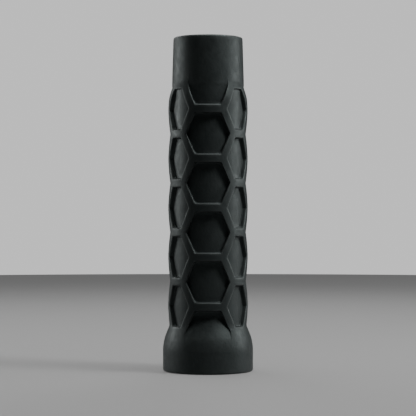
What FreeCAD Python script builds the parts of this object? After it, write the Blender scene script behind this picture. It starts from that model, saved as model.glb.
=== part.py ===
import FreeCAD, Part
import math
import os
import re
import Sketcher

# Rock tumbler barrel, in millimetres. It stands on its flared foot: +Z is its axis, the origin is the centre
# of the foot's underside, and a column of full honeycomb pockets faces -Y.
# A rubber jacket with honeycomb relief covers a lined steel drum, and an expanding plug closes its mouth:
# the knob on the stud draws the pressure plate up, and the seal ring between plate and cover swells.

DIMENSIONS = {
    # outside of the jacket
    "overall_height": 376,
    "foot_r": 50.9,
    "foot_round": 2.5,
    "foot_band_z": 23.2,
    "flare_knee_r": 49.5,
    "flare_knee_z": 34.5,
    "flare_bulge_r": 47.5,
    "flare_waist_r": 46,
    "flare_waist_z": 47.5,
    "flare_top_z": 52.5,
    "lattice_r": 44.8,
    "swell_top_z": 303,
    "shoulder_r": 43.9,
    "shoulder_z": 311,
    "collar_foot_r": 40.6,
    "collar_foot_z": 325,
    "rim_r": 39.1,
    "rim_round": 2.2,
    # honeycomb
    "cell_pitch": 54.8,
    "lowest_cell_z": 46.9,
    "front_column_angle": 61.5,
    "window_half_height": 22.8,
    "front_half_width": 24.1,
    "front_corner_half": 14.3,
    "front_lean": 3,
    "side_half_width": 17.4,
    "side_corner_half": 7.2,
    "side_lean": 16,
    "window_near": 26,
    "window_far": 52,
    "pocket_floor_r": 40.4,
    "foot_run_out_z": 57.5,
    "collar_run_out_z": 320,
    "shell_foot_r": 49,
    "shell_foot_z": 32.5,
    "shell_sink": 1,
    # inside of the jacket
    "jacket_bore_r": 35.4,
    "jacket_floor": 4,
    "jacket_floor_hole_r": 14,
    "lip_r": 33.9,
    "lip_height": 4,
    "lip_round": 1.2,
    "recess_r": 35,
    "groove_inner_r": 41,
    "groove_outer_r": 46,
    "groove_depth": 22,
    # base
    "base_plate_z": 5,
    "base_plate_r": 34,
    "base_plate": 2.5,
    "base_screw_circle": 25,
    "screw_shank_r": 2,
    "screw_head_r": 3.8,
    "screw_head": 2.2,
    "screw_reach": 11.8,
    "screw_socket": 1.4,
    "screw_socket_depth": 1.3,
    "lock_washer": 0.8,
    "lock_washer_r": 3.6,
    "hoop_inner_r": 43.9,
    "hoop_outer_r": 45.8,
    "hoop_height": 18,
    # drum
    "tube_r": 35.2,
    "tube_wall": 1.6,
    "end_disc": 6,
    "end_disc_flange": 1.5,
    "tapped_hole_depth": 5,
    "liner_r": 33.4,
    "liner_floor": 5,
    "liner_apothem": 28.5,
    "liner_corner_round": 8,
    # mouth
    "mouth_top_z": 330,
    "mouth_ring_height": 30,
    "mouth_bore_r": 28.5,
    "mouth_chamfer": 1.2,
    "rivet_r": 1.5,
    "rivet_z": 314,
    "rivet_depth": 4.4,
    # expanding plug
    "gasket": 1.5,
    "gasket_inner_r": 29.8,
    "gasket_outer_r": 32.6,
    "cover": 2.5,
    "cover_r": 32.8,
    "cover_rim": 7.5,
    "cover_rim_wall": 2,
    "stud_hole_r": 4.3,
    "seal": 14,
    "seal_r": 28.2,
    "seal_inner_r": 9,
    "seal_round": 1.5,
    "plate": 3,
    "plate_r": 26.5,
    "head_washer": 1.5,
    "head_washer_r": 9.5,
    "stud_r": 4,
    "stud_head": 4.5,
    "stud_head_r": 9,
    "stud_head_edge": 1,
    "stud_neck_half": 4,
    "stud_top_z": 364.5,
    "stud_top_chamfer": 0.8,
    "clip": 0.9,
    "clip_z": 361.85,
    "clip_inner_r": 3.25,
    "clip_outer_r": 6.5,
    "clip_opening": 4.6,
    "knob_washer": 1.6,
    "knob_washer_r": 10,
    "knob_r": 22,
    "knob": 22,
    "knob_skirt_r": 14,
    "knob_skirt": 3,
    "knob_scallop_r": 7,
    "knob_scallop_circle": 26.5,
    "knob_edge": 1.5,
    "knob_well_r": 8.5,
    "knob_well": 4,
    "insert_r": 6.3,
    "insert_height": 14.4,
    # everywhere
    "running_gap": 0.05,
    "gap": 0.1,
    "overcut": 1,
}

SIDE_COLUMNS = 7  # all but the wider front column at -Y, counted round from it; every second one is odd
EVEN_ROWS = 6  # the first and last of them are half covered by the foot and the collar
ODD_ROWS = 5  # half a cell higher
BASE_SCREWS = 6
RIVETS = 4
KNOB_LOBES = 6
SIXTHS = range(30, 390, 60)  # degrees of a hexagon's corners, or of its flats

# what follows from the dimensions, as expressions
SIDE_STEP = f"(360 - front_column_angle) / {SIDE_COLUMNS}"
JACKET_FLOOR_Z = "base_plate_z + base_plate"
END_DISC_Z = "base_plate_z + base_plate + jacket_floor"
TUBE_Z = END_DISC_Z + " + end_disc_flange"
LINER_FLOOR_Z = END_DISC_Z + " + end_disc"
LINER_Z = LINER_FLOOR_Z + " + liner_floor"
MOUTH_RING_Z = "mouth_top_z - mouth_ring_height"
LIP_Z = "overall_height - lip_height"
COVER_Z = "mouth_top_z + gasket"
COVER_TOP_Z = COVER_Z + " + cover"
KNOB_Z = COVER_TOP_Z + " + knob_washer"
SEAL_Z = COVER_Z + " - seal"
PLATE_Z = SEAL_Z + " - plate"
HEAD_WASHER_Z = PLATE_Z + " - head_washer"
STUD_Z = HEAD_WASHER_Z + " - stud_head"
WASHER_Z = "base_plate_z - lock_washer"
SCREW_Z = WASHER_Z + " - screw_head"

doc = FreeCAD.newDocument("rock_tumbler_barrel")
sheet = doc.addObject("Spreadsheet::Sheet", "Dims")
nodes = []


def fill_sheet():
    for row, (alias, size) in enumerate(DIMENSIONS.items(), start=1):
        sheet.set(f"A{row}", alias)
        sheet.set(f"B{row}", str(size))
        sheet.setAlias(f"B{row}", alias)
    doc.recompute()


def on_sheet(expression):
    """The expression with each dimension's name pointed at its cell."""
    def pointed(word):
        return "Dims." + word[0] if word[0] in DIMENSIONS else word[0]
    return re.sub(r"[a-z_]+", pointed, expression)


def number(expression):
    return float(sheet.evalExpression(on_sheet(expression)))


def new_node(name):
    body = doc.addObject("PartDesign::Body", name)
    body.Label = name
    body.AllowCompound = True
    nodes.append(body)
    return body


def origin_of(body, role):
    return next(feature for feature in body.Origin.OriginFeatures if feature.Role == role)


def sketch_on(body, name, role="XY_Plane", offset="0"):
    """An empty sketch parallel to one of the body's origin planes."""
    sketch = body.newObject("Sketcher::SketchObject", name)
    sketch.AttachmentSupport = [(origin_of(body, role), "")]
    sketch.MapMode = "FlatFace"
    sketch.setExpression("AttachmentOffset.Base.z", on_sheet(offset))
    return sketch


def bind_datum(sketch, constraint, expression):
    index = sketch.addConstraint(constraint)
    sketch.setExpression(f"Constraints[{index}]", on_sheet(expression))


def pin_point(sketch, geometry, end, x, y):
    """Ties a point's two coordinates to expressions, or to an axis where one is 0."""
    for kind, axis, expression in (("DistanceX", -2, x), ("DistanceY", -1, y)):
        if expression == "0":
            sketch.addConstraint(Sketcher.Constraint("PointOnObject", geometry, end, axis))
        else:
            bind_datum(sketch, Sketcher.Constraint(kind, geometry, end, number(expression)), expression)


def add_circle(sketch, radius, x="0", y="0"):
    centre = FreeCAD.Vector(number(x), number(y), 0)
    circle = sketch.addGeometry(Part.Circle(centre, FreeCAD.Vector(0, 0, 1), number(radius)), False)
    pin_point(sketch, circle, 3, x, y)
    bind_datum(sketch, Sketcher.Constraint("Radius", circle, number(radius)), radius)


def arc_between(start, end, radius, side):
    """The short arc from start to end, bulging to the right of that way with side +1, to the left with -1."""
    along = end - start
    right = FreeCAD.Vector(along.y, -along.x, 0).normalize()
    rise = radius - math.sqrt(radius**2 - along.Length**2 / 4)
    return Part.Arc(start, (start + end) / 2 + right * rise * side, end)


def add_outline(sketch, corners):
    """A closed outline. A corner is (x, y), or (x, y, radius, side) where an arc leads to the next one."""
    places = [FreeCAD.Vector(number(corner[0]), number(corner[1]), 0) for corner in corners]
    ends = []
    for index, corner in enumerate(corners):
        start, end = places[index], places[(index + 1) % len(places)]
        if len(corner) == 2:
            edge = sketch.addGeometry(Part.LineSegment(start, end), False)
        else:
            edge = sketch.addGeometry(arc_between(start, end, number(corner[2]), corner[3]), False)
            bind_datum(sketch, Sketcher.Constraint("Radius", edge, number(corner[2])), corner[2])
        away = [sketch.getPoint(edge, end_point).distanceToPoint(start) for end_point in (1, 2)]
        ends.append((edge, 1, 2) if away[0] < away[1] else (edge, 2, 1))
    for index, corner in enumerate(corners):
        edge, first, _ = ends[index]
        before, _, last = ends[index - 1]
        sketch.addConstraint(Sketcher.Constraint("Coincident", before, last, edge, first))
        pin_point(sketch, edge, first, corner[0], corner[1])


def revolve(body, name, corners):
    """A turned solid: the outline's x is the radius, and its y the height."""
    profile = sketch_on(body, name + "_profile", "XZ_Plane")
    add_outline(profile, corners)
    turned = body.newObject("PartDesign::Revolution", name)
    turned.Profile = profile
    turned.ReferenceAxis = (origin_of(body, "Z_Axis"), [""])
    turned.Angle = 360
    return turned


def pad(body, name, sketch, length):
    feature = body.newObject("PartDesign::Pad", name)
    feature.Profile = sketch
    feature.setExpression("Length", on_sheet(length))
    return feature


def cut_up(body, name, sketch, length):
    """A pocket that cuts from its sketch towards +Z, or towards -Y from a sketch on the XZ plane."""
    feature = body.newObject("PartDesign::Pocket", name)
    feature.Profile = sketch
    feature.Reversed = True
    feature.setExpression("Length", on_sheet(length))
    return feature


def disc(body, name, radius, bottom, height, hole=None):
    """A disc, or with a hole's radius a ring, from the height bottom upwards."""
    outline = sketch_on(body, name + "_circle", offset=bottom)
    add_circle(outline, radius)
    if hole:
        add_circle(outline, hole)
    return pad(body, name, outline, height)


def polar(body, features, count):
    pattern = body.newObject("PartDesign::PolarPattern", features[0].Name + "_around")
    pattern.Originals = features
    pattern.Axis = (origin_of(body, "Z_Axis"), [""])
    pattern.Angle = 360
    pattern.Occurrences = count
    body.Tip = pattern
    return pattern


def holes_around(body, name, radius, x, bottom, depth, count):
    """Round holes on a circle about the axis, cut upwards from bottom."""
    outline = sketch_on(body, name + "_circle", offset=bottom)
    add_circle(outline, radius, x)
    polar(body, [cut_up(body, name, outline, depth)], count)


def square(sketch, half):
    minus = f"-({half})"
    add_outline(sketch, [(half, half), (minus, half), (minus, minus), (half, minus)])


# The jacket

def lattice_shell(body):
    """The raised layer that the pockets are cut through, sunk a little into the jacket's wall and flare."""
    inner = "pocket_floor_r - shell_sink"
    revolve(body, "lattice_shell", [
        (inner, "shell_foot_z"),
        ("shell_foot_r", "shell_foot_z"),
        ("flare_waist_r", "flare_waist_z"),
        ("lattice_r", "flare_top_z"),
        ("lattice_r", "swell_top_z"),
        ("shoulder_r", "shoulder_z"),
        ("collar_foot_r", "collar_foot_z"),
        (inner, "collar_foot_z"),
    ])


def window_sketch(body, name, station, angle):
    """An empty upright sketch at a distance from the axis, turned round the axis by an angle from -Y."""
    sketch = sketch_on(body, name, "XZ_Plane", f"({station}) * cos(({angle}) * 1deg)")
    upright = FreeCAD.Rotation(FreeCAD.Vector(0, 1, 0), 1)  # sets the axis; the angle is bound below
    sketch.AttachmentOffset = FreeCAD.Placement(FreeCAD.Vector(), upright)
    sketch.setExpression("AttachmentOffset.Base.x", on_sheet(f"({station}) * sin(({angle}) * 1deg)"))
    sketch.setExpression("AttachmentOffset.Rotation.Angle", on_sheet(angle))
    return sketch


def window(body, name, size, height, angle):
    """A six-sided window that is wider outwards: the front one by a little draft, and the side ones so that
    their walls stay square to the jacket."""
    sections = []
    for station in ("window_near", "window_far"):
        grow = "({} - sqrt(lattice_r ^ 2 - {} ^ 2)) * tan({}_lean * 1deg)"
        point = f"{size}_half_width + " + grow.format(station, size + "_half_width", size)
        corner = f"{size}_corner_half + " + grow.format(station, size + "_corner_half", size)
        top = f"{height} + window_half_height"
        foot = f"{height} - window_half_height"
        sketch = window_sketch(body, f"{name}_{station}", station, angle)
        add_outline(sketch, [
            (point, height), (corner, top), (f"-({corner})", top),
            (f"-({point})", height), (f"-({corner})", foot), (corner, foot),
        ])
        sections.append(sketch)
    loft = body.newObject("PartDesign::SubtractiveLoft", name)
    loft.Profile = sections[0]
    loft.Sections = [sections[1]]
    loft.Ruled = True
    return loft


def window_columns(body, loft, rows, columns):
    """Repeats a window up its column, and the column at every second place round the side."""
    up = body.newObject("PartDesign::LinearPattern", loft.Name + "_up")
    up.Direction = (origin_of(body, "Z_Axis"), [""])
    up.Occurrences = rows
    up.setExpression("Length", on_sheet(f"{rows - 1} * cell_pitch"))
    transformations = [up]
    if columns > 1:
        around = body.newObject("PartDesign::PolarPattern", loft.Name + "_around")
        around.Axis = (origin_of(body, "Z_Axis"), [""])
        around.Occurrences = columns
        around.setExpression("Angle", on_sheet(f"{2 * (columns - 1)} * {SIDE_STEP}"))
        transformations.append(around)
    pattern = body.newObject("PartDesign::MultiTransform", loft.Name + "_columns")
    pattern.Originals = [loft]
    pattern.Transformations = transformations
    body.Tip = pattern


def jacket_wall(body):
    """Foot, wall under the pockets and collar, as one turned solid with the bore for the drum."""
    revolve(body, "jacket_wall", [
        ("recess_r", "0"),
        ("groove_inner_r", "0"),
        ("groove_inner_r", "groove_depth"),
        ("groove_outer_r", "groove_depth"),
        ("groove_outer_r", "0"),
        ("foot_r - foot_round", "0", "foot_round", 1),
        ("foot_r", "foot_round"),
        ("foot_r", "foot_band_z", "flare_bulge_r", 1),
        ("flare_knee_r", "flare_knee_z"),
        ("pocket_floor_r", "foot_run_out_z"),
        ("pocket_floor_r", "collar_run_out_z"),
        ("collar_foot_r", "collar_foot_z"),
        ("rim_r", "overall_height - rim_round", "rim_round", 1),
        ("rim_r - rim_round", "overall_height"),
        ("lip_r + lip_round", "overall_height", "lip_round", 1),
        ("lip_r", "overall_height - lip_round"),
        ("lip_r", LIP_Z),
        ("jacket_bore_r", LIP_Z),
        ("jacket_bore_r", END_DISC_Z),
        ("jacket_floor_hole_r", END_DISC_Z),
        ("jacket_floor_hole_r", JACKET_FLOOR_Z),
        ("recess_r", JACKET_FLOOR_Z),
    ])


def make_jacket():
    """The honeycomb's columns are alternately even and odd all the way round, and the front one is even."""
    body = new_node("honeycomb_jacket")
    lattice_shell(body)
    first_odd = f"front_column_angle / 2 + {SIDE_STEP} / 2"
    odd_z = "lowest_cell_z + cell_pitch / 2"
    front = window(body, "front_window", "front", "lowest_cell_z", "0")
    window_columns(body, front, EVEN_ROWS, 1)
    odd = window(body, "odd_window", "side", odd_z, first_odd)
    window_columns(body, odd, ODD_ROWS, (SIDE_COLUMNS + 1) // 2)
    even = window(body, "even_window", "side", "lowest_cell_z", f"{first_odd} + {SIDE_STEP}")
    window_columns(body, even, EVEN_ROWS, SIDE_COLUMNS // 2)
    jacket_wall(body)
    holes_around(body, "floor_hole", "screw_shank_r + gap", "base_screw_circle", JACKET_FLOOR_Z,
                 "jacket_floor", BASE_SCREWS)


# The base

def make_base_plate():
    body = new_node("base_plate")
    disc(body, "base_disc", "base_plate_r", "base_plate_z", "base_plate")
    holes_around(body, "screw_hole", "screw_shank_r + gap", "base_screw_circle", "base_plate_z",
                 "base_plate", BASE_SCREWS)


def make_base_screws():
    """Button-head screws with a socket in the head, heads down."""
    body = new_node("base_screws")
    head_outline = sketch_on(body, "head_circle", offset=SCREW_Z)
    add_circle(head_outline, "screw_head_r", "base_screw_circle")
    head = pad(body, "screw_head", head_outline, "screw_head")
    shank_outline = sketch_on(body, "shank_circle", offset=WASHER_Z)
    add_circle(shank_outline, "screw_shank_r", "base_screw_circle")
    shank = pad(body, "screw_shank", shank_outline, "screw_reach")
    socket_outline = sketch_on(body, "socket_hexagon", offset=SCREW_Z)
    add_outline(socket_outline, [
        (f"base_screw_circle + screw_socket * cos({turn}deg)", f"screw_socket * sin({turn}deg)")
        for turn in SIXTHS
    ])
    socket = cut_up(body, "screw_socket", socket_outline, "screw_socket_depth")
    polar(body, [head, shank, socket], BASE_SCREWS)


def make_lock_washers():
    body = new_node("base_lock_washers")
    outline = sketch_on(body, "washer_circles", offset=WASHER_Z)
    add_circle(outline, "lock_washer_r", "base_screw_circle")
    add_circle(outline, "screw_shank_r + gap", "base_screw_circle")
    polar(body, [pad(body, "lock_washer", outline, "lock_washer")], BASE_SCREWS)


def make_foot_hoop():
    body = new_node("foot_hoop")
    disc(body, "hoop", "hoop_outer_r", "groove_depth - hoop_height", "hoop_height", "hoop_inner_r")


# The drum

def radial_holes(body, name, radius, depth):
    """Round holes for the mouth ring's rivets, from the drum's outside inwards."""
    outline = sketch_on(body, name + "_circle", "XZ_Plane", f"tube_r - ({depth})")
    add_circle(outline, radius, "0", "rivet_z")
    polar(body, [cut_up(body, name, outline, f"{depth} + overcut")], RIVETS)


def make_drum_tube():
    body = new_node("drum_tube")
    disc(body, "tube", "tube_r", TUBE_Z, f"{LIP_Z} - gap - ({TUBE_Z})", "tube_r - tube_wall")
    radial_holes(body, "rivet_hole", "rivet_r + gap", "tube_wall + overcut")


def make_end_disc():
    body = new_node("drum_end_disc")
    disc(body, "end_flange", "tube_r", END_DISC_Z, "end_disc_flange")
    disc(body, "end_spigot", "liner_r", TUBE_Z, "end_disc - end_disc_flange")
    holes_around(body, "tapped_hole", "screw_shank_r + running_gap", "base_screw_circle", END_DISC_Z,
                 "tapped_hole_depth", BASE_SCREWS)


def make_liner_floor():
    disc(new_node("liner_floor"), "floor_disc", "liner_r", LINER_FLOOR_Z, "liner_floor")


def make_liner_wall():
    """A thick sleeve, round outside, with a six-sided bore whose corners are rounded."""
    body = new_node("liner_wall")
    section = sketch_on(body, "liner_section", offset=LINER_Z)
    add_circle(section, "liner_r")
    half_flat = "(liner_apothem - liner_corner_round) * tan(30deg)"
    corners = []
    for turn in SIXTHS:
        for along in (-1, 1):
            x = f"liner_apothem * cos({turn}deg) - {along} * {half_flat} * sin({turn}deg)"
            y = f"liner_apothem * sin({turn}deg) + {along} * {half_flat} * cos({turn}deg)"
            corners.append((x, y) if along < 0 else (x, y, "liner_corner_round", 1))
    add_outline(section, corners)
    pad(body, "liner", section, f"{MOUTH_RING_Z} - ({LINER_Z})")


def make_mouth_ring():
    body = new_node("mouth_ring")
    revolve(body, "ring", [
        ("mouth_bore_r", MOUTH_RING_Z),
        ("liner_r", MOUTH_RING_Z),
        ("liner_r", "mouth_top_z"),
        ("mouth_bore_r + mouth_chamfer", "mouth_top_z"),
        ("mouth_bore_r", "mouth_top_z - mouth_chamfer"),
    ])
    radial_holes(body, "rivet_hole", "rivet_r + gap", "rivet_depth + gap")


def make_rivets():
    body = new_node("mouth_ring_rivets")
    outline = sketch_on(body, "rivet_circle", "XZ_Plane", "tube_r - rivet_depth")
    add_circle(outline, "rivet_r", "0", "rivet_z")
    polar(body, [pad(body, "rivet", outline, "rivet_depth")], RIVETS)


# The expanding plug

def make_lid_cover():
    """A flat disc with an upright rim, and a rounded corner between them."""
    rim_r = "cover_r - cover_rim_wall"
    revolve(new_node("lid_cover"), "cover_disc", [
        ("stud_hole_r", COVER_Z),
        ("cover_r", COVER_Z),
        ("cover_r", f"{COVER_Z} + cover_rim - cover_rim_wall / 2", "cover_rim_wall / 2", 1),
        ("cover_r - cover_rim_wall / 2", f"{COVER_Z} + cover_rim", "cover_rim_wall / 2", 1),
        (rim_r, f"{COVER_Z} + cover_rim - cover_rim_wall / 2"),
        (rim_r, f"{COVER_TOP_Z} + cover_rim_wall", "cover_rim_wall", -1),
        (f"{rim_r} - cover_rim_wall", COVER_TOP_Z),
        ("stud_hole_r", COVER_TOP_Z),
    ])


def make_lid_gasket():
    disc(new_node("lid_gasket"), "gasket_ring", "gasket_outer_r", "mouth_top_z", "gasket", "gasket_inner_r")


def make_seal_ring():
    revolve(new_node("seal_ring"), "ring", [
        ("seal_inner_r", SEAL_Z),
        ("seal_r - seal_round", SEAL_Z, "seal_round", 1),
        ("seal_r", f"{SEAL_Z} + seal_round"),
        ("seal_r", f"{COVER_Z} - seal_round", "seal_round", 1),
        ("seal_r - seal_round", COVER_Z),
        ("seal_inner_r", COVER_Z),
    ])


def make_pressure_plate():
    """The square hole keeps the stud from turning."""
    body = new_node("pressure_plate")
    disc(body, "plate_disc", "plate_r", PLATE_Z, "plate")
    outline = sketch_on(body, "square_hole_outline", offset=PLATE_Z)
    square(outline, "stud_neck_half + running_gap")
    cut_up(body, "square_hole", outline, "plate")


def make_head_washer():
    disc(new_node("stud_head_washer"), "washer", "head_washer_r", HEAD_WASHER_Z, "head_washer",
         "stud_neck_half * sqrt(2) + gap")


def make_clamp_stud():
    """Round head down, square neck in the pressure plate, and a groove for the clip near the top."""
    body = new_node("clamp_stud")
    dome_r = "(stud_head_r ^ 2 + (stud_head - stud_head_edge) ^ 2) / (2 * (stud_head - stud_head_edge))"
    groove_r = "clip_inner_r - running_gap"
    revolve(body, "stud", [
        ("0", STUD_Z, dome_r, 1),
        ("stud_head_r", f"{HEAD_WASHER_Z} - stud_head_edge"),
        ("stud_head_r", HEAD_WASHER_Z),
        ("stud_r", HEAD_WASHER_Z),
        ("stud_r", "clip_z - running_gap"),
        (groove_r, "clip_z - running_gap"),
        (groove_r, "clip_z + clip + running_gap"),
        ("stud_r", "clip_z + clip + running_gap"),
        ("stud_r", "stud_top_z - stud_top_chamfer"),
        ("stud_r - stud_top_chamfer", "stud_top_z"),
        ("0", "stud_top_z"),
    ])
    neck_outline = sketch_on(body, "neck_outline", offset=HEAD_WASHER_Z)
    square(neck_outline, "stud_neck_half")
    pad(body, "square_neck", neck_outline, "head_washer + plate")


def make_end_clip():
    """A snap ring, open on one side."""
    body = new_node("stud_end_clip")
    disc(body, "clip_ring", "clip_outer_r", "clip_z", "clip", "clip_inner_r")
    outline = sketch_on(body, "clip_gap_outline", offset="clip_z")
    half, far = "clip_opening / 2", "clip_outer_r + overcut"
    add_outline(outline, [("0", f"-({half})"), (far, f"-({half})"), (far, half), ("0", half)])
    cut_up(body, "opening", outline, "clip")


def make_knob_washer():
    disc(new_node("knob_washer"), "washer", "knob_washer_r", COVER_TOP_Z, "knob_washer", "stud_hole_r")


def make_clamp_knob():
    """A round knob with scalloped sides, a narrower skirt, and a well round the stud's end."""
    body = new_node("clamp_knob")
    top = f"{KNOB_Z} + knob"
    revolve(body, "knob_blank", [
        ("insert_r + running_gap", KNOB_Z),
        ("knob_skirt_r", KNOB_Z),
        ("knob_skirt_r", f"{KNOB_Z} + knob_skirt"),
        ("knob_r - knob_edge", f"{KNOB_Z} + knob_skirt", "knob_edge", 1),
        ("knob_r", f"{KNOB_Z} + knob_skirt + knob_edge"),
        ("knob_r", f"{top} - knob_edge", "knob_edge", 1),
        ("knob_r - knob_edge", top),
        ("knob_well_r", top),
        ("knob_well_r", f"{top} - knob_well"),
        ("stud_hole_r", f"{top} - knob_well"),
        ("stud_hole_r", f"{KNOB_Z} + insert_height"),
        ("insert_r + running_gap", f"{KNOB_Z} + insert_height"),
    ])
    holes_around(body, "scallop", "knob_scallop_r", "knob_scallop_circle", KNOB_Z, "knob", KNOB_LOBES)


def make_knob_insert():
    disc(new_node("knob_insert"), "insert", "insert_r", KNOB_Z, "insert_height", "stud_r + running_gap")


def check_objects():
    """Stops if an object of the document failed, or a node's shape can't be used."""
    for item in doc.Objects:
        if "Invalid" in item.State or "Error" in item.State:
            raise RuntimeError(f"{item.Label} failed: {item.State}")
    for body in nodes:
        if body.Shape.isNull() or not body.Shape.isValid() or not body.Shape.Solids:
            raise RuntimeError(f"{body.Label} has no valid solid")


def write_nodes():
    os.makedirs("parts", exist_ok=True)
    for body in nodes:
        body.Shape.exportStep(f"parts/{body.Label}.step")
        box = body.Shape.BoundBox
        print(f"{body.Label:20} {len(body.Shape.Solids)} solid, {body.Shape.Volume / 1000:8.2f} cm3, "
              f"z {box.ZMin:.2f} to {box.ZMax:.2f}, x to {box.XMax:.2f}")


fill_sheet()
make_jacket()
make_base_plate()
make_base_screws()
make_lock_washers()
make_foot_hoop()
make_drum_tube()
make_end_disc()
make_liner_floor()
make_liner_wall()
make_mouth_ring()
make_rivets()
make_lid_cover()
make_lid_gasket()
make_seal_ring()
make_pressure_plate()
make_head_washer()
make_clamp_stud()
make_end_clip()
make_knob_washer()
make_clamp_knob()
make_knob_insert()
doc.recompute()
check_objects()
write_nodes()
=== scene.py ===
import math

import bmesh
import bpy
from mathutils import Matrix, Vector


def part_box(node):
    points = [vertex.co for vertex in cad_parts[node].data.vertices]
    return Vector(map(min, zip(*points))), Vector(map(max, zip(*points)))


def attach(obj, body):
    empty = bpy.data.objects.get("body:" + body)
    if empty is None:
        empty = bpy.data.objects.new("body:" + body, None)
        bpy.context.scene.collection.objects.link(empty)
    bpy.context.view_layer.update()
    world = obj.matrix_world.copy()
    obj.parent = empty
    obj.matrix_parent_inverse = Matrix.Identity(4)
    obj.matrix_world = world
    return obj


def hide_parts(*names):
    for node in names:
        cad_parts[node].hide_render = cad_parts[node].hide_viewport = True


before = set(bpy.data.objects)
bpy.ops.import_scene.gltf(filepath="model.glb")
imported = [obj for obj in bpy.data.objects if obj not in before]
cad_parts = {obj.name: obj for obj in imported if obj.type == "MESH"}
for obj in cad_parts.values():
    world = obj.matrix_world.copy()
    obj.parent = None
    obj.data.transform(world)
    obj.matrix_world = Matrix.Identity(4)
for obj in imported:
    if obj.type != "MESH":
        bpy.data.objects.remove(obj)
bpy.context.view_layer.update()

# The rock tumbler barrel in detail, in metres: a rubber jacket with a honeycomb sleeve, a steel drum inside
# it, and the expanding plug that closes its mouth. The front faces -Y.

MM = 0.001
TURN = 2 * math.pi

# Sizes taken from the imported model
JACKET_LOW, JACKET_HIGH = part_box("honeycomb_jacket")
HEIGHT = JACKET_HIGH.z
FOOT_R = min(-JACKET_LOW.x, -JACKET_LOW.y, JACKET_HIGH.x, JACKET_HIGH.y)
TUBE_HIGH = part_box("drum_tube")[1]

# The honeycomb: eight columns of six-sided cells round the jacket, every second one half a cell higher, and
# the front one wider. A cell is drawn flat, as (distance round the jacket, height), with its ribs' centre
# lines as its edges. At the top and foot of an even column is a half-open cell, whose depth fades over the
# heights given here.
COLUMNS = 8
PITCH = 54.8 * MM
LOWEST_CELL_Z = 46.9 * MM
FULL_ROWS = 4
LATTICE_R = 44.8 * MM
FRONT_COLUMN = LATTICE_R * math.radians(61.5)
SIDE_COLUMN = (LATTICE_R * TURN - FRONT_COLUMN) / (COLUMNS - 1)
RIB_LEAN = math.radians(25.5)
RIB_HALF = 4.7 * MM
RIB_EDGE = 1.2 * MM
WALL_DRAFT = 0.35 * MM
FLOOR_FILLET = 0.7 * MM
POCKET_DEPTH = 4.4 * MM
POCKET_FLOOR_R = LATTICE_R - POCKET_DEPTH
FADE_FOOT_Z = 318 * MM
FADE_TOP_Z = 331 * MM
RUN_OUT_TOP_Z = 62 * MM
RUN_OUT_FOOT_Z = 30 * MM
CORNER_ROUND = 1.6 * MM
FLOOR_CORNER_ROUND = 11 * MM
STRUT_STEPS = 16
RIB_STEPS = 12

# The jacket's outline. A slope is how steeply the curve starts: 1 is as steep as a straight line.
RIM_R = 39.1 * MM
COLLAR_FOOT_R = 40.6 * MM
COLLAR_FOOT_Z = 325 * MM
SWELL_TOP_Z = 303 * MM
SWELL_TOP_R = 44.8 * MM
SWELL_FOOT_R = 45.0 * MM
SHOULDER_SLOPE = 1.0
FLARE_TOP_Z = 52.5 * MM
FOOT_BAND_Z = 23.2 * MM
FLARE_SLOPE = 1.15


def smooth(value):
    """0 below 0, 1 above 1, and an S between them."""
    value = min(1.0, max(0.0, value))
    return value * value * (3 - 2 * value)


def ease(value, slope):
    """From 0 to 1, starting with the given slope and ending level."""
    value = min(1.0, max(0.0, value))
    return slope * (value - 2 * value**2 + value**3) + 3 * value**2 - 2 * value**3


# Mesh code

def new_piece(name, verts, faces, material, body, slot, *nodes):
    """A smooth-shaded mesh that rides on a body, and stands for the CAD nodes named."""
    mesh = bpy.data.meshes.new(name)
    mesh.from_pydata(verts, [], faces)
    work = bmesh.new()
    work.from_mesh(mesh)
    bmesh.ops.remove_doubles(work, verts=work.verts, dist=0.002 * MM)
    bmesh.ops.recalc_face_normals(work, faces=work.faces)
    work.to_mesh(mesh)
    work.free()
    mesh.shade_smooth()
    mesh.materials.append(material)
    piece = bpy.data.objects.new(name, mesh)
    bpy.context.scene.collection.objects.link(piece)
    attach(piece, body)
    if nodes:
        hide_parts(*nodes)
    return piece


def weighted(piece):
    """Keeps flat faces flat beside their rounded edges."""
    piece.modifiers.new("normals", "WEIGHTED_NORMAL").keep_sharp = True
    return piece


def rounded(corners, steps=4):
    """A closed outline of (radius, height, rounding) corners, with each rounding as a run of points."""
    points = []
    for index, (x, y, rounding) in enumerate(corners):
        here = Vector((x, y))
        before = Vector(corners[index - 1][:2]) - here
        after = Vector(corners[(index + 1) % len(corners)][:2]) - here
        if not rounding:
            points.append(tuple(here))
            continue
        before.normalize()
        after.normalize()
        half = before.angle(after) / 2
        reach = rounding / math.tan(half)
        centre = here + (before + after).normalized() * rounding / math.sin(half)
        first = here + before * reach - centre
        sweep = first.angle_signed(here + after * reach - centre)
        for step in range(steps + 1):
            angle = -sweep * step / steps
            points.append((
                centre.x + first.x * math.cos(angle) - first.y * math.sin(angle),
                centre.y + first.x * math.sin(angle) + first.y * math.cos(angle),
            ))
    return points


def spin(rings, segments, closed=True):
    """Vertices and faces of rings about an upright axis. A ring is (radius, height), or a function of the
    angle that gives them."""
    verts, faces = [], []
    for ring in rings:
        for segment in range(segments):
            angle = TURN * segment / segments
            radius, height = ring(angle) if callable(ring) else ring
            verts.append((radius * math.cos(angle), radius * math.sin(angle), height))
    count = len(rings)
    for ring in range(count if closed else count - 1):
        for segment in range(segments):
            after = (segment + 1) % segments
            above = (ring + 1) % count
            faces.append((
                ring * segments + segment, ring * segments + after,
                above * segments + after, above * segments + segment,
            ))
    return verts, faces


def turned(name, corners, material, body, slot, *nodes, segments=128):
    """A turned piece from its closed outline."""
    verts, faces = spin(rounded(corners), segments)
    return weighted(new_piece(name, verts, faces, material, body, slot, *nodes))


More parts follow.
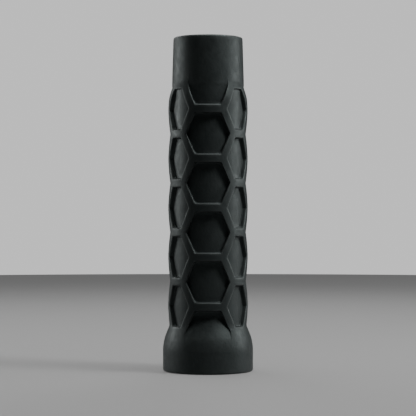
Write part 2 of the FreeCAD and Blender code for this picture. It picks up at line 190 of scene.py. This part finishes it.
def several(parts):
    """Joins several (vertices, faces) pairs into one."""
    verts, faces = [], []
    for part_verts, part_faces in parts:
        start = len(verts)
        verts += part_verts
        faces += [tuple(index + start for index in face) for face in part_faces]
    return verts, faces


# The jacket

def land_r(z):
    """Radius of the jacket's outermost surface at a height: collar, shoulder, sleeve, flare and foot."""
    if z >= COLLAR_FOOT_Z:
        return RIM_R + (COLLAR_FOOT_R - RIM_R) * (HEIGHT - z) / (HEIGHT - COLLAR_FOOT_Z)
    if z >= SWELL_TOP_Z:
        rise = ease((COLLAR_FOOT_Z - z) / (COLLAR_FOOT_Z - SWELL_TOP_Z), SHOULDER_SLOPE)
        return COLLAR_FOOT_R + (SWELL_TOP_R - COLLAR_FOOT_R) * rise
    if z >= FLARE_TOP_Z:
        down = (SWELL_TOP_Z - z) / (SWELL_TOP_Z - FLARE_TOP_Z)
        return SWELL_TOP_R + (SWELL_FOOT_R - SWELL_TOP_R) * down
    rise = ease((FLARE_TOP_Z - z) / (FLARE_TOP_Z - FOOT_BAND_Z), FLARE_SLOPE)
    return SWELL_FOOT_R + (FOOT_R - SWELL_FOOT_R) * rise


def pocket_depth(z, opened):
    """Depth of a cell's floor under the jacket's outside. Half-open cells run out into the collar or the
    foot."""
    depth = land_r(z) - POCKET_FLOOR_R
    if opened > 0:
        return depth * (1 - smooth((z - FADE_FOOT_Z) / (FADE_TOP_Z - FADE_FOOT_Z)))
    if opened < 0 and z < RUN_OUT_TOP_Z:
        down = min(1.0, (RUN_OUT_TOP_Z - z) / (RUN_OUT_TOP_Z - RUN_OUT_FOOT_Z))
        return max(0.0, depth - (FOOT_R - POCKET_FLOOR_R) * (down + smooth(down)) / 2)
    return depth


def cell_profile():
    """From a rib's centre line to the edge of the pocket's floor, as (distance inwards, share of the
    depth)."""
    profile = [(0, 0), ((RIB_HALF - RIB_EDGE) * 0.5, 0), (RIB_HALF - RIB_EDGE, 0)]
    for angle in (22, 44, 66, 84):
        angle = math.radians(angle)
        profile.append((RIB_HALF - RIB_EDGE * (1 - math.sin(angle)), RIB_EDGE * (1 - math.cos(angle))))
    wall_foot = POCKET_DEPTH - FLOOR_FILLET
    profile.append((RIB_HALF + WALL_DRAFT * 0.45, (RIB_EDGE + wall_foot) / 2))
    inner = RIB_HALF + WALL_DRAFT + FLOOR_FILLET
    for angle in (0, 22, 44, 66, 90):
        angle = math.radians(angle)
        profile.append((inner - FLOOR_FILLET * math.cos(angle), wall_foot + FLOOR_FILLET * math.sin(angle)))
    return [(inwards, drop / POCKET_DEPTH) for inwards, drop in profile]


def column_place(column):
    """A column's middle line and its mean width."""
    if column == 0:
        return 0, FRONT_COLUMN
    return FRONT_COLUMN / 2 + (column - 0.5) * SIDE_COLUMN, SIDE_COLUMN


def cell_corners(width, inwards, opened):
    """The six corners of a cell's outline, moved inwards, anticlockwise from the right-hand one. A cell
    opened towards the collar (1) or the foot (-1) has upright sides there."""
    side = (width + PITCH / 2 * math.tan(RIB_LEAN)) / 2 - inwards / math.cos(RIB_LEAN)
    top = PITCH / 2 - inwards
    corner = side - top * math.tan(RIB_LEAN)
    upper = side if opened > 0 else corner
    lower = side if opened < 0 else corner
    return [(side, 0), (upper, top), (-upper, top), (-side, 0), (-lower, -top), (lower, -top)]


def side_steps(count):
    """Even steps that close up a little towards both ends."""
    crowding = 0.45
    steps = []
    for step in range(count):
        even = step / count
        steps.append((1 - crowding) * even + crowding * (1 - math.cos(math.pi * even)) / 2)
    return steps


def cell_outline(width, inwards, opened):
    """Points round a cell's outline. Its corners are sharp on the ribs' centre lines, rounded at the ribs'
    edges and, except where the cell runs out, far rounder on the pocket's floor."""
    corners = [Vector(corner) for corner in cell_corners(width, inwards, opened)]
    down_wall = smooth((inwards - RIB_HALF) / (WALL_DRAFT + FLOOR_FILLET))
    edge_round = CORNER_ROUND * min(1.0, inwards / RIB_HALF)
    floor_round = edge_round + (FLOOR_CORNER_ROUND - CORNER_ROUND) * down_wall
    roundings = [edge_round if corner.y * opened > 0 else floor_round for corner in corners]
    points = []
    for index, start in enumerate(corners):
        end = corners[(index + 1) % 6]
        count = STRUT_STEPS if index in (1, 4) else RIB_STEPS
        for share in side_steps(count):
            points.append(round_off(start.lerp(end, share), corners, index, roundings))
    return points


def round_off(point, corners, index, roundings):
    """Moves a point of a side on to the arc at either end of that side, where it is that close."""
    for near in (index, (index + 1) % 6):
        here = corners[near]
        before = (corners[near - 1] - here).normalized()
        after = (corners[(near + 1) % 6] - here).normalized()
        half = before.angle(after) / 2
        rounding = roundings[near]
        reach = rounding / math.tan(half)
        away = (point - here).length
        if reach > 0 and away < reach:
            middle = (before + after).normalized()
            centre = here + middle * rounding / math.sin(half)
            along = (point - here).normalized() if away > 1e-9 else middle
            turn = (math.pi / 2 - half) * away / reach
            across = along - middle * along.dot(middle)
            across = across.normalized() if across.length > 1e-6 else Vector((0, 0))
            return centre - middle * rounding * math.cos(turn) + across * rounding * math.sin(turn)
    return point


def on_jacket(u, z, radius):
    """A point at a distance u round the jacket from -Y, at a height and a radius."""
    angle = u / LATTICE_R - math.pi / 2
    return (radius * math.cos(angle), radius * math.sin(angle), z)


def cell(column, middle, opened):
    """One pocket and the half of each rib round it. The front column's walls run straight back, the others'
    towards the axis."""
    place, width = column_place(column)
    rings = [(cell_outline(width, inwards, opened), share) for inwards, share in cell_profile()]
    floor_edge = rings[-1][0]
    for scale in (0.8, 0.6, 0.4, 0.2):
        rings.append(([(across * scale, up * scale) for across, up in floor_edge], 1))
    verts, faces = [], []
    for ring, share in rings:
        for across, up in ring:
            z = middle + up
            radius = land_r(z) - pocket_depth(z, opened) * share
            if column == 0:
                across *= 1 + pocket_depth(z, opened) * share / radius
            verts.append(on_jacket(place + across, z, radius))
    count = len(floor_edge)
    for start in range(0, len(verts) - count, count):
        for point in range(count):
            after = (point + 1) % count
            faces.append((start + point, start + after, start + count + after, start + count + point))
    last = len(verts) - count
    verts.append(on_jacket(place, middle, land_r(middle) - pocket_depth(middle, opened)))
    faces += [(last + point, last + (point + 1) % count, len(verts) - 1) for point in range(count)]
    return verts, faces


def land_patch(column, low):
    """The smooth ground above or below an odd column, between two half-open cells."""
    place, width = column_place(column)
    corner = cell_corners(width, 0, 0)[1][0]
    across = [corner * (2 * share - 1) for share in side_steps(STRUT_STEPS) + [1]]
    up = [low + PITCH / 2 * share for share in side_steps(RIB_STEPS) + [1]]
    verts = [on_jacket(place + u, z, land_r(z)) for z in up for u in across]
    count = len(across)
    faces = []
    for row in range(len(up) - 1):
        for step in range(count - 1):
            low = row * count + step
            faces.append((low, low + 1, low + count + 1, low + count))
    return verts, faces


def jacket_cells():
    """Every cell and patch, and so the whole sleeve between two level rings of points."""
    top = LOWEST_CELL_Z + (FULL_ROWS + 1) * PITCH
    parts = []
    for column in range(COLUMNS):
        if column % 2:
            parts += [cell(column, LOWEST_CELL_Z + (row + 0.5) * PITCH, 0) for row in range(FULL_ROWS + 1)]
            parts.append(land_patch(column, top))
            parts.append(land_patch(column, LOWEST_CELL_Z - PITCH / 2))
        else:
            parts += [cell(column, LOWEST_CELL_Z + row * PITCH, 0) for row in range(1, FULL_ROWS + 1)]
            parts.append(cell(column, top, 1))
            parts.append(cell(column, LOWEST_CELL_Z, -1))
    return parts


def sleeve_angles():
    """Where the sleeve's level end rings have their points, as distances round the jacket."""
    angles = []
    for column in range(COLUMNS):
        place, width = column_place(column)
        side, corner = (across for across, _ in cell_corners(width, 0, 0)[:2])
        half = corner if column % 2 else side
        angles += [place + half * (2 * share - 1) for share in side_steps(STRUT_STEPS)]
    return angles


def skirt(outline):
    """Turned faces through the outline's points that meet the sleeve's ring of points."""
    around = sleeve_angles()
    verts = [on_jacket(u, z, radius) for radius, z in outline for u in around]
    count = len(around)
    faces = []
    for ring in range(len(outline) - 1):
        for point in range(count):
            after = (point + 1) % count
            faces.append((
                ring * count + point, ring * count + after,
                (ring + 1) * count + after, (ring + 1) * count + point,
            ))
    return verts, faces


def arc(centre_r, centre_z, radius, start, end, steps=6):
    """Points on an arc of an outline, between two angles in degrees."""
    angles = [math.radians(start + (end - start) * step / steps) for step in range(steps + 1)]
    return [(centre_r + radius * math.cos(angle), centre_z + radius * math.sin(angle)) for angle in angles]


def collar_outline():
    """From the sleeve up the collar, over the rim, and down its inside to the drum tube."""
    start = LOWEST_CELL_Z + (FULL_ROWS + 1.5) * PITCH
    rim_round = 2.2 * MM
    lip_round = 1.2 * MM
    lip_r = 33.9 * MM
    stop = HEIGHT - rim_round
    outline = [(land_r(z), z) for z in (start + (stop - start) * step / 8 for step in range(8))]
    outline += arc(RIM_R - rim_round, HEIGHT - rim_round, rim_round, 0, 90)
    outline += arc(lip_r + lip_round, HEIGHT - lip_round, lip_round, 90, 180)
    return outline + [(lip_r, TUBE_HIGH.z + 0.1 * MM), (TUBE_HIGH.x + 0.2 * MM, TUBE_HIGH.z + 0.1 * MM)]


def foot_outline():
    """From the sleeve down the foot, over its edge and across its face, in and out of the hoop's groove, and
    up the recess to the base plate."""
    start = LOWEST_CELL_Z - PITCH / 2
    foot_round = 2.5 * MM
    groove_inner, groove_outer, groove_top = 41 * MM, 46 * MM, 22 * MM
    edge = 0.6 * MM
    recess_r, recess_z = 35 * MM, 7.4 * MM
    outline = [(land_r(z), z) for z in (start + (foot_round - start) * step / 6 for step in range(6))]
    outline += arc(FOOT_R - foot_round, foot_round, foot_round, 0, -90)
    outline += arc(groove_outer + edge, edge, edge, -90, -180, 3)
    outline += [(groove_outer, groove_top), (groove_inner, groove_top)]
    outline += arc(groove_inner - edge, edge, edge, 0, -90, 3)
    outline += arc(recess_r + edge, edge, edge, -90, -180, 3)
    return outline + [(recess_r, recess_z), (recess_r - 3 * MM, recess_z)]


def make_jacket():
    verts, faces = several(jacket_cells() + [skirt(collar_outline()), skirt(foot_outline())])
    new_piece("jacket", verts, faces, RUBBER, "barrel", "jacket_rubber", "honeycomb_jacket")


# The rest of the barrel

def make_drum():
    outer, top = TUBE_HIGH.x, TUBE_HIGH.z
    wall = 1.6 * MM
    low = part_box("drum_tube")[0].z
    turned("tube", [
        (outer - wall, low, 0), (outer, low, 0), (outer, top, 0.5 * MM), (outer - wall, top, 0.5 * MM),
    ], TURNED_STEEL, "barrel", "drum_steel", "drum_tube")
    low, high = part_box("mouth_ring")
    bore = 28.5 * MM
    turned("mouth_seat", [
        (bore, low.z, 0.4 * MM), (high.x, low.z, 0.3 * MM), (high.x, high.z, 0.3 * MM),
        (bore + 1.2 * MM, high.z, 0.4 * MM), (bore, high.z - 1.2 * MM, 0.4 * MM),
    ], TURNED_STEEL, "barrel", "drum_steel", "mouth_ring")


def make_base():
    low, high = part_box("base_plate")
    turned("bottom_plate", [
        (0, low.z, 0), (high.x, low.z, 0.5 * MM), (high.x, high.z, 0.4 * MM), (0, high.z, 0),
    ], TURNED_STEEL, "barrel", "plated_steel", "base_plate")
    low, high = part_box("foot_hoop")
    inner = 43.9 * MM
    turned("hoop", [
        (inner, low.z, 0.5 * MM), (high.x, low.z, 0.5 * MM),
        (high.x, high.z, 0.3 * MM), (inner, high.z, 0.3 * MM),
    ], PLATED_STEEL, "barrel", "plated_steel", "foot_hoop")


# The expanding plug

def make_cover():
    low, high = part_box("lid_cover")
    floor = low.z + 2.5 * MM
    wall = 2 * MM
    hole = 4.3 * MM
    turned("cover", [
        (hole, low.z, 0.2 * MM), (high.x, low.z, 0.8 * MM), (high.x, high.z, 0.95 * MM),
        (high.x - wall, high.z, 0.95 * MM), (high.x - wall, floor, 2 * MM),
        (25 * MM, floor, 1.0 * MM), (24 * MM, floor + 0.8 * MM, 1.0 * MM),
        (13 * MM, floor + 0.8 * MM, 1.0 * MM), (12 * MM, floor, 1.0 * MM), (hole, floor, 0.2 * MM),
    ], TURNED_STEEL, "lid", "drum_steel", "lid_cover")


def scalloped(angle):
    """Radius of the knob's side: a circle with six rounded scallops."""
    full, scallop, circle, lobes = 22 * MM, 7 * MM, 26.5 * MM, 6
    away = (angle + math.pi / lobes) % (TURN / lobes) - math.pi / lobes
    reach = scallop**2 - (circle * math.sin(away))**2
    if reach <= 0:
        return full
    hollow = circle * math.cos(away) - math.sqrt(reach)
    soft = 1.2 * MM
    blend = smooth((hollow - full + soft) / (2 * soft))
    return min(full, hollow) - soft * blend * (1 - blend)


def make_knob():
    low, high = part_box("clamp_knob")
    skirt_z, well_z = low.z + 3 * MM, high.z - 4 * MM
    edge = 1.6 * MM
    well, hole = 8.5 * MM, 4.3 * MM
    rings = [(hole, low.z), (13.4 * MM, low.z), (14 * MM, low.z + 0.6 * MM), (14 * MM, skirt_z)]
    rings += [(lambda angle, inset=inset, z=z: (scalloped(angle) - inset, z)) for inset, z in (
        [(3 * MM, skirt_z)]
        + [(edge * (1 - math.sin(turn)), skirt_z + edge * (1 - math.cos(turn))) for turn in quarter()]
        + [(edge * (1 - math.cos(turn)), high.z - edge * (1 - math.sin(turn))) for turn in quarter()]
    )]
    rings += [(15.2 * MM, high.z), (14.8 * MM, high.z - 0.5 * MM), (13.6 * MM, high.z - 0.5 * MM),
              (13.2 * MM, high.z), (well + 0.7 * MM, high.z), (well, high.z - 0.7 * MM),
              (well, well_z + 0.5 * MM), (well - 0.5 * MM, well_z), (hole, well_z)]
    verts, faces = spin(rings, 240)
    weighted(new_piece("knob_grip", verts, faces, PLASTIC, "knob", "knob_plastic", "clamp_knob"))


def quarter(steps=6):
    """Angles from 0 to a quarter turn."""
    return [math.pi / 2 * step / steps for step in range(steps + 1)]


def thread(top, foot, radius):
    """Rings of a right-handed thread, its crests at the radius."""
    pitch, depth, per_turn = 1.25 * MM, 0.65 * MM, 10
    rings = []
    for step in range(int((top - foot) / pitch * per_turn) + 1):
        z = foot + pitch * step / per_turn

        def ring(angle, z=z):
            phase = (z / pitch - angle / TURN) % 1
            flank = min(1.0, abs(2 * phase - 1) * 1.15)
            fade = smooth((top - z) / (1.2 * pitch))
            return radius - depth * (1 - flank * fade), z
        rings.append(ring)
    return rings


def make_stud():
    low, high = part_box("clamp_stud")
    radius, head_r, head_top = 4 * MM, high.x, 313 * MM
    thread_foot = 340 * MM
    head_edge = head_top - 1 * MM
    dome = [
        (head_r * math.sin(turn), head_edge - (head_edge - low.z) * math.cos(turn)) for turn in quarter(8)
    ]
    rings = dome + [(head_r, head_top - 0.2 * MM), (head_r - 0.2 * MM, head_top), (radius, head_top),
                    (radius, thread_foot - 0.5 * MM)]
    rings += thread(high.z - 0.4 * MM, thread_foot, radius)
    rings += [(radius - 1.0 * MM, high.z), (0, high.z)]
    verts, faces = spin(rings, 64, closed=False)
    new_piece("stud", verts, faces, PLATED_STEEL, "clamp", "plated_steel", "clamp_stud")


# Materials

def material(name, color, roughness, metallic=0.0):
    made = bpy.data.materials.new(name)
    made.use_nodes = True
    shader = made.node_tree.nodes["Principled BSDF"]
    shader.inputs["Base Color"].default_value = (*color, 1)
    shader.inputs["Roughness"].default_value = roughness
    shader.inputs["Metallic"].default_value = metallic
    return made, made.node_tree, shader


def add(tree, kind, **settings):
    """A node with its settings, or its inputs where the name is an input's."""
    node = tree.nodes.new(kind)
    for name, value in settings.items():
        if name in node.inputs:
            node.inputs[name].default_value = value
        else:
            setattr(node, name, value)
    return node


def noise(tree, size, detail=3.0, vector=None):
    """Noise whose spots are about size metres across."""
    node = add(tree, "ShaderNodeTexNoise", Scale=1 / size, Detail=detail)
    if vector is None:
        vector = add(tree, "ShaderNodeTexCoord").outputs["Object"]
    tree.links.new(vector, node.inputs["Vector"])
    return node.outputs["Fac"]


def spread(tree, value, low, high, start=0.3, stop=0.7):
    """Maps start to stop, which is a noise's middle range, on to low to high."""
    node = add(tree, "ShaderNodeMapRange")
    node.inputs["From Min"].default_value = start
    node.inputs["From Max"].default_value = stop
    node.inputs["To Min"].default_value = low
    node.inputs["To Max"].default_value = high
    tree.links.new(value, node.inputs["Value"])
    return node.outputs["Result"]


def mix(tree, factor, first, second):
    """Mixes two colours, each given as a tuple or by a node."""
    node = add(tree, "ShaderNodeMix", data_type="RGBA")
    tree.links.new(factor, node.inputs["Factor"])
    for socket, color in (("A", first), ("B", second)):
        if isinstance(color, tuple):
            node.inputs[socket].default_value = (*color, 1)
        else:
            tree.links.new(color, node.inputs[socket])
    return node.outputs["Result"]


def worn_and_highlit_edges(tree):
    """Up to 1 along rounded edges and 0 on even ground, and patchy. It masks paler edges: wear, and on the
    jacket also a painted highlight along the ribs' edges.
    """
    sharp = spread(tree, add(tree, "ShaderNodeNewGeometry").outputs["Pointiness"], 0, 1, 0.506, 0.53)
    patchy = add(tree, "ShaderNodeMath", operation="MULTIPLY")
    tree.links.new(sharp, patchy.inputs[0])
    tree.links.new(spread(tree, noise(tree, 7 * MM, 4), 0.35, 1), patchy.inputs[1])
    return patchy.outputs[0]


def bump(tree, shader, *layers):
    """Stacks (height, depth in metres) layers as bumps."""
    normal = None
    for height, depth in layers:
        node = add(tree, "ShaderNodeBump", Distance=depth, Strength=1.0)
        tree.links.new(height, node.inputs["Height"])
        if normal:
            tree.links.new(normal, node.inputs["Normal"])
        normal = node.outputs["Normal"]
    tree.links.new(normal, shader.inputs["Normal"])


def rubber_material(name, dark, light, low, high, edge_wear_and_highlight=None):
    """Moulded rubber: a fine even grain, slow cloudy changes of tone and gloss, and edges that may be paler,
    partly from wear and partly as a painted highlight along the ribs' edges."""
    made, tree, shader = material(name, dark, low)
    tone = mix(tree, spread(tree, noise(tree, 22 * MM, 4), 0, 1), dark, light)
    if edge_wear_and_highlight:
        # Paler rounded edges: wear, and a painted highlight along the ribs' edges.
        tone = mix(tree, worn_and_highlit_edges(tree), tone, edge_wear_and_highlight)
    tree.links.new(tone, shader.inputs["Base Color"])
    tree.links.new(spread(tree, noise(tree, 6 * MM, 5), low, high), shader.inputs["Roughness"])
    shader.inputs["Specular Tint"].default_value = (0.85, 1, 0.98, 1)
    bump(tree, shader, (noise(tree, 0.55 * MM, 2), 0.05 * MM), (noise(tree, 3 * MM, 3), 0.12 * MM))
    return made


def turned_steel_material():
    """Steel with the fine rings of its turning."""
    made, tree, shader = material("turned_steel", (0.56, 0.56, 0.57), 0.3, 1.0)
    place = add(tree, "ShaderNodeSeparateXYZ")
    tree.links.new(add(tree, "ShaderNodeTexCoord").outputs["Object"], place.inputs[0])
    level = add(tree, "ShaderNodeCombineXYZ")
    tree.links.new(place.outputs["X"], level.inputs["X"])
    tree.links.new(place.outputs["Y"], level.inputs["Y"])
    radius = add(tree, "ShaderNodeVectorMath", operation="LENGTH")
    tree.links.new(level.outputs[0], radius.inputs[0])
    rings = add(tree, "ShaderNodeCombineXYZ")
    tree.links.new(radius.outputs["Value"], rings.inputs["X"])
    tree.links.new(place.outputs["Z"], rings.inputs["Y"])
    fine = noise(tree, 0.35 * MM, 2, rings.outputs[0])
    tone = mix(tree, spread(tree, noise(tree, 9 * MM, 4), 0, 1), (0.50, 0.50, 0.51), (0.60, 0.60, 0.60))
    tree.links.new(tone, shader.inputs["Base Color"])
    tree.links.new(spread(tree, fine, 0.24, 0.42), shader.inputs["Roughness"])
    bump(tree, shader, (fine, 0.012 * MM))
    return made


def plated_steel_material():
    """Dull zinc plate, slightly mottled."""
    made, tree, shader = material("plated_steel", (0.50, 0.50, 0.52), 0.4, 1.0)
    cloud = spread(tree, noise(tree, 2.2 * MM, 5), 0, 1)
    tree.links.new(mix(tree, cloud, (0.42, 0.42, 0.44), (0.56, 0.56, 0.57)), shader.inputs["Base Color"])
    tree.links.new(spread(tree, noise(tree, 0.9 * MM, 4), 0.34, 0.52), shader.inputs["Roughness"])
    bump(tree, shader, (noise(tree, 0.3 * MM, 2), 0.008 * MM))
    return made


def plastic_material():
    """Black moulded plastic with a spark-eroded texture."""
    made, tree, shader = material("knob_plastic", (0.022, 0.022, 0.024), 0.5)
    cloud = spread(tree, noise(tree, 5 * MM, 4), 0, 1)
    tone = mix(tree, cloud, (0.018, 0.018, 0.020), (0.030, 0.030, 0.032))
    tone = mix(tree, worn_and_highlit_edges(tree), tone, (0.055, 0.055, 0.057))
    tree.links.new(tone, shader.inputs["Base Color"])
    tree.links.new(spread(tree, noise(tree, 1.5 * MM, 3), 0.42, 0.58), shader.inputs["Roughness"])
    bump(tree, shader, (noise(tree, 0.3 * MM, 2), 0.03 * MM))
    return made


def brass_material():
    """Turned brass, faintly tarnished."""
    made, tree, shader = material("brass", (0.72, 0.53, 0.26), 0.35, 1.0)
    tone = mix(tree, spread(tree, noise(tree, 2 * MM, 4), 0, 1), (0.62, 0.43, 0.20), (0.78, 0.58, 0.30))
    tree.links.new(tone, shader.inputs["Base Color"])
    tree.links.new(spread(tree, noise(tree, 0.8 * MM, 3), 0.28, 0.45), shader.inputs["Roughness"])
    bump(tree, shader, (noise(tree, 0.25 * MM, 2), 0.006 * MM))
    return made


def fibre_material():
    """Red vulcanised fibre, a little flecked."""
    made, tree, shader = material("red_fibre", (0.28, 0.07, 0.05), 0.6)
    tone = mix(tree, spread(tree, noise(tree, 0.7 * MM, 5), 0, 1), (0.22, 0.05, 0.035), (0.34, 0.10, 0.07))
    tree.links.new(tone, shader.inputs["Base Color"])
    bump(tree, shader, (noise(tree, 0.5 * MM, 4), 0.03 * MM))
    return made


def paint_nodes(assigned):
    """Gives the CAD nodes that stay their materials."""
    for made, names in assigned:
        for name in names:
            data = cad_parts[name].data
            data.materials.clear()
            data.materials.append(made)


# The jacket rubber's last tone is its paler edge colour: partly wear, partly a painted highlight along the
# ribs' edges.
RUBBER = rubber_material("jacket_rubber", (0.013, 0.016, 0.016), (0.024, 0.028, 0.028), 0.44, 0.58,
                         (0.060, 0.066, 0.065))
LINER_RUBBER = rubber_material("liner_rubber", (0.030, 0.030, 0.030), (0.060, 0.058, 0.055), 0.60, 0.80)
SEAL_RUBBER = rubber_material("seal_rubber", (0.025, 0.025, 0.027), (0.035, 0.035, 0.037), 0.40, 0.52)
TURNED_STEEL = turned_steel_material()
PLATED_STEEL = plated_steel_material()
PLASTIC = plastic_material()
BRASS = brass_material()
FIBRE = fibre_material()


# Studio

def softbox(name, angle, distance, height, size, power):
    """An area light that faces the barrel's middle, at an angle in degrees from -Y towards +X."""
    data = bpy.data.lights.new(name, "AREA")
    data.shape = "RECTANGLE"
    data.size, data.size_y = size
    data.energy = power
    light = bpy.data.objects.new(name, data)
    turn = math.radians(angle)
    light.location = (distance * math.sin(turn), -distance * math.cos(turn), height)
    light.rotation_euler = (Vector((0, 0, HEIGHT / 2)) - light.location).to_track_quat("-Z", "Y").to_euler()
    bpy.context.scene.collection.objects.link(light)


def stage_piece(name, verts, faces, colour, glow=0.0):
    """A floor or backdrop in one plain tone."""
    mesh = bpy.data.meshes.new(name)
    mesh.from_pydata(verts, [], faces)
    made, _, shader = material(name, colour, 0.85)
    shader.inputs["Emission Color"].default_value = (1, 1, 1, 1)
    shader.inputs["Emission Strength"].default_value = glow
    mesh.materials.append(made)
    piece = bpy.data.objects.new(name, mesh)
    bpy.context.scene.collection.objects.link(piece)
    return piece


def make_stage():
    """A round floor, and a plain wall round it. Neither of them sheds soft light on the barrel."""
    radius, high, count = 2.65, 6, 96
    verts, faces = spin([(radius, 0), (radius, high)], count, closed=False)
    floor = stage_piece("floor", verts[:count], [tuple(range(count))], (0.16, 0.16, 0.16), 0.12)
    floor.visible_diffuse = False
    wall = stage_piece("backdrop", verts, faces, (0.1, 0.1, 0.1), 0.72)
    wall.visible_diffuse = False
    wall.visible_glossy = False
    wall.visible_shadow = False


def make_studio():
    make_stage()
    softbox("left_softbox", -108, 1.2, 0.4, (0.7, 0.4), 4.9)
    softbox("right_softbox", 97, 1.2, 0.4, (0.55, 0.35), 5.2)
    softbox("high_softbox", 69, 1.2, 1.6, (0.4, 0.4), 25)
    softbox("overhead_softbox", 0, 0.25, 2.0, (1.2, 1.2), 17)
    softbox("back_left_softbox", -150, 1.3, 1.1, (0.8, 0.8), 7)
    softbox("back_right_softbox", 165, 1.3, 1.1, (0.8, 0.8), 7)
    world = bpy.data.worlds.new("studio")
    world.use_nodes = True
    world.node_tree.nodes["Background"].inputs["Color"].default_value = (0.012, 0.012, 0.012, 1)
    bpy.context.scene.world = world


def make_camera():
    """Level with the middle of the barrel and far off, as the reference view is."""
    data = bpy.data.cameras.new("camera")
    data.lens = 138.5
    camera = bpy.data.objects.new("camera", data)
    camera.location = (0, -1.808, 0.1836)
    camera.rotation_euler = (math.pi / 2, 0, 0)
    bpy.context.scene.collection.objects.link(camera)
    bpy.context.scene.camera = camera


make_jacket()
make_drum()
make_base()
make_cover()
make_knob()
make_stud()
paint_nodes([
    (LINER_RUBBER, ["liner_wall", "liner_floor"]),
    (SEAL_RUBBER, ["lid_gasket", "seal_ring"]),
    (TURNED_STEEL, ["drum_end_disc", "pressure_plate"]),
    (PLATED_STEEL, ["base_screws", "base_lock_washers", "mouth_ring_rivets"]),
    (PLATED_STEEL, ["knob_washer", "stud_end_clip"]),
    (BRASS, ["knob_insert"]),
    (FIBRE, ["stud_head_washer"]),
])
make_studio()
make_camera()
